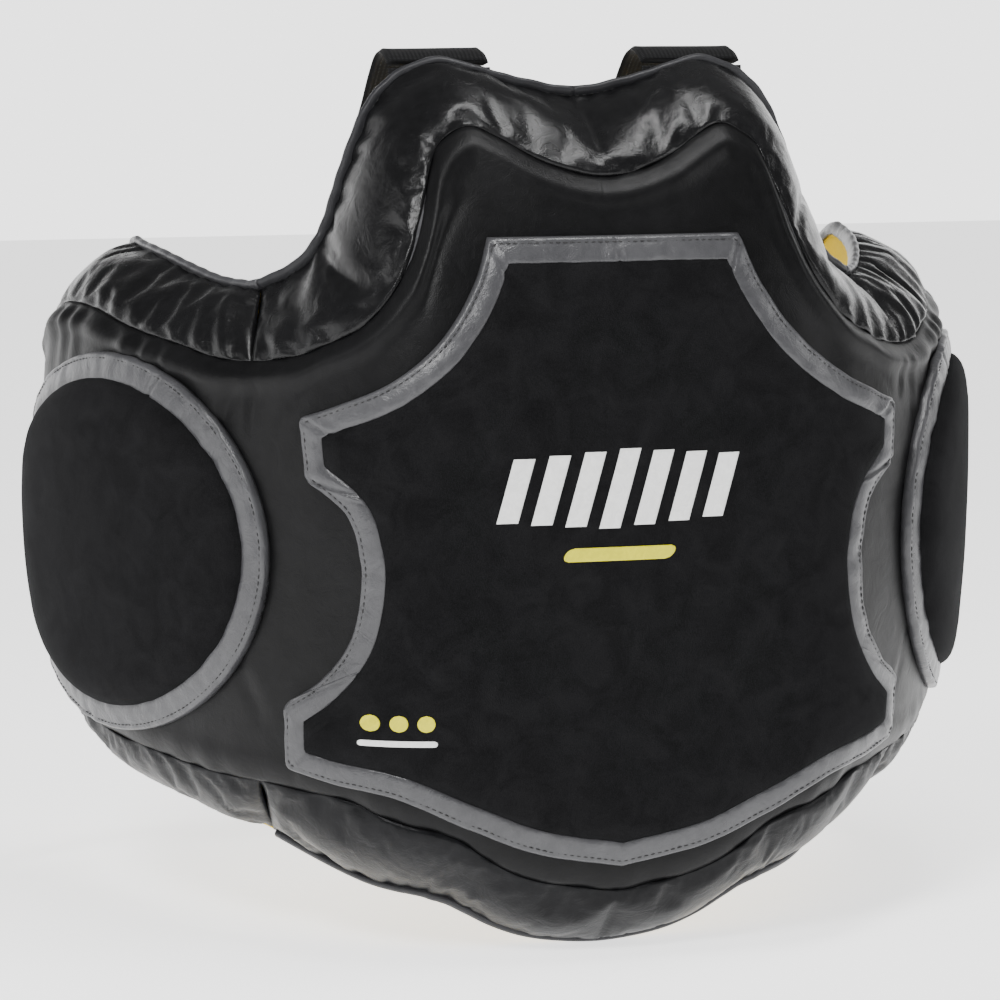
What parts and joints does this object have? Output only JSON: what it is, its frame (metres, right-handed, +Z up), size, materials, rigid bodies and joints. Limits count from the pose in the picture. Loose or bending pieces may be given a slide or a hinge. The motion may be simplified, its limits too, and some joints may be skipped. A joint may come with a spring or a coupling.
{
  "type": "chest protector",
  "caption": "Padded body protector for combat training: thick chest panel, hinged side wings with raised striking targets, buckled strap harness.",
  "frame": {"origin": "middle of the wearer's torso space, level with the lower edge of the ribs", "axes": "+X to the wearer's left, front facing -Y, +Z up"},
  "size_m": [0.6204, 0.4183, 0.5363],
  "materials": {
    "cover_leather": "satin black grained leather",
    "gusset_leather": "shiny dark grey creased leather",
    "binding_leather": "mid grey leather, stitched",
    "piping_leather": "dark grey rolled leather",
    "target_suede": "matte black napped suede",
    "lining_cloth": "yellow mesh lining",
    "impact_foam": "dense closed-cell foam",
    "comfort_foam": "soft foam",
    "webbing": "woven nylon webbing",
    "buckle_plastic": "moulded acetal"
  },
  "bodies": {
    "front": {"front_cover": "cover_leather", "front_lining": "lining_cloth", "front_impact_foam": "impact_foam", "front_comfort_foam": "comfort_foam", "yoke_gusset": "gusset_leather", "belly_gusset": "gusset_leather", "neck_piping": "piping_leather", "hem_piping": "piping_leather", "centre_target_foam": "impact_foam", "centre_target_face": "target_suede", "centre_target_binding": "binding_leather", "left_strap_tab": "webbing", "right_strap_tab": "webbing"},
    "left_wing": {"left_wing_cover": "cover_leather", "left_wing_lining": "lining_cloth", "left_wing_impact_foam": "impact_foam", "left_wing_comfort_foam": "comfort_foam", "left_wing_top_gusset": "gusset_leather", "left_wing_bottom_gusset": "gusset_leather", "left_wing_rear_gusset": "gusset_leather", "left_armhole_piping": "piping_leather", "left_side_target_foam": "impact_foam", "left_side_target_face": "target_suede", "left_side_target_ring": "binding_leather"},
    "left_strap": {"left_shoulder_strap": "webbing", "left_strap_webbing": "webbing", "left_strap_buckle_frame": "buckle_plastic"},
    "left_slider": {"left_strap_slider": "buckle_plastic"},
    "left_outer_prong": {"left_strap_buckle_outer_prong": "buckle_plastic"},
    "left_inner_prong": {"left_strap_buckle_inner_prong": "buckle_plastic"},
    "left_belt": {"left_belt_webbing": "webbing", "left_belt_riser": "webbing", "left_strap_buckle_socket": "buckle_plastic", "waist_buckle_socket": "buckle_plastic"},
    "right_wing": {"right_wing_cover": "cover_leather", "right_wing_lining": "lining_cloth", "right_wing_impact_foam": "impact_foam", "right_wing_comfort_foam": "comfort_foam", "right_wing_top_gusset": "gusset_leather", "right_wing_bottom_gusset": "gusset_leather", "right_wing_rear_gusset": "gusset_leather", "right_armhole_piping": "piping_leather", "right_side_target_foam": "impact_foam", "right_side_target_face": "target_suede", "right_side_target_ring": "binding_leather"},
    "right_strap": {"right_shoulder_strap": "webbing", "right_strap_webbing": "webbing", "right_strap_buckle_frame": "buckle_plastic"},
    "right_slider": {"right_strap_slider": "buckle_plastic"},
    "right_outer_prong": {"right_strap_buckle_outer_prong": "buckle_plastic"},
    "right_inner_prong": {"right_strap_buckle_inner_prong": "buckle_plastic"},
    "right_belt": {"right_belt_webbing": "webbing", "right_belt_riser": "webbing", "right_strap_buckle_socket": "buckle_plastic", "waist_buckle_frame": "buckle_plastic"},
    "waist_upper_prong": {"waist_buckle_upper_prong": "buckle_plastic"},
    "waist_lower_prong": {"waist_buckle_lower_prong": "buckle_plastic"}
  },
  "joints": [
    {"name": "left_wing_fold", "type": "hinge", "parent": "front", "child": "left_wing", "pos_m": [0.19488, -0.12151, 0], "axis": [0, 0, -1], "range_deg": [0, 30], "stiffness_Nm_per_rad": 8},
    {"name": "left_strap_lift", "type": "hinge", "parent": "front", "child": "left_strap", "pos_m": [0.079, -0.064, 0.272], "axis": [1, 0, 0], "range_deg": [0, 90]},
    {"name": "left_slider_slide", "type": "slide", "parent": "left_strap", "child": "left_slider", "axis": [0, 0.766, -0.6428], "range_m": [-0.045, 0.055]},
    {"name": "left_outer_prong_press", "type": "hinge", "parent": "left_strap", "child": "left_outer_prong", "pos_m": [0.095, 0.21609, 0.0174], "axis": [0, 1, 0], "range_deg": [0, 8], "stiffness_Nm_per_rad": 0.1},
    {"name": "left_inner_prong_press", "type": "hinge", "parent": "left_strap", "child": "left_inner_prong", "pos_m": [0.063, 0.21609, 0.0174], "axis": [0, -1, 0], "range_deg": [0, 8], "stiffness_Nm_per_rad": 0.1},
    {"name": "left_belt_swing", "type": "hinge", "parent": "left_wing", "child": "left_belt", "pos_m": [0.25343, 0.16889, -0.067], "axis": [0, 0, -1], "range_deg": [0, 70]},
    {"name": "right_wing_fold", "type": "hinge", "parent": "front", "child": "right_wing", "pos_m": [-0.19488, -0.12151, 0], "axis": [0, 0, 1], "range_deg": [0, 30], "stiffness_Nm_per_rad": 8},
    {"name": "right_strap_lift", "type": "hinge", "parent": "front", "child": "right_strap", "pos_m": [-0.079, -0.064, 0.272], "axis": [1, 0, 0], "range_deg": [0, 90]},
    {"name": "right_slider_slide", "type": "slide", "parent": "right_strap", "child": "right_slider", "axis": [0, 0.766, -0.6428], "range_m": [-0.045, 0.055]},
    {"name": "right_outer_prong_press", "type": "hinge", "parent": "right_strap", "child": "right_outer_prong", "pos_m": [-0.095, 0.21609, 0.0174], "axis": [0, -1, 0], "range_deg": [0, 8], "stiffness_Nm_per_rad": 0.1},
    {"name": "right_inner_prong_press", "type": "hinge", "parent": "right_strap", "child": "right_inner_prong", "pos_m": [-0.063, 0.21609, 0.0174], "axis": [0, 1, 0], "range_deg": [0, 8], "stiffness_Nm_per_rad": 0.1},
    {"name": "right_belt_swing", "type": "hinge", "parent": "right_wing", "child": "right_belt", "pos_m": [-0.25343, 0.16889, -0.067], "axis": [0, 0, 1], "range_deg": [0, 70]},
    {"name": "waist_upper_prong_press", "type": "hinge", "parent": "right_belt", "child": "waist_upper_prong", "pos_m": [-0.0174, 0.21389, -0.045], "axis": [0, 1, 0], "range_deg": [0, 8], "stiffness_Nm_per_rad": 0.1},
    {"name": "waist_lower_prong_press", "type": "hinge", "parent": "right_belt", "child": "waist_lower_prong", "pos_m": [-0.0174, 0.21389, -0.089], "axis": [0, -1, 0], "range_deg": [0, 8], "stiffness_Nm_per_rad": 0.1}
  ],
  "couplings": [
    {"joint": "left_inner_prong_press", "follows": "left_outer_prong_press", "ratio": 1},
    {"joint": "right_inner_prong_press", "follows": "right_outer_prong_press", "ratio": 1},
    {"joint": "waist_lower_prong_press", "follows": "waist_upper_prong_press", "ratio": 1}
  ]
}
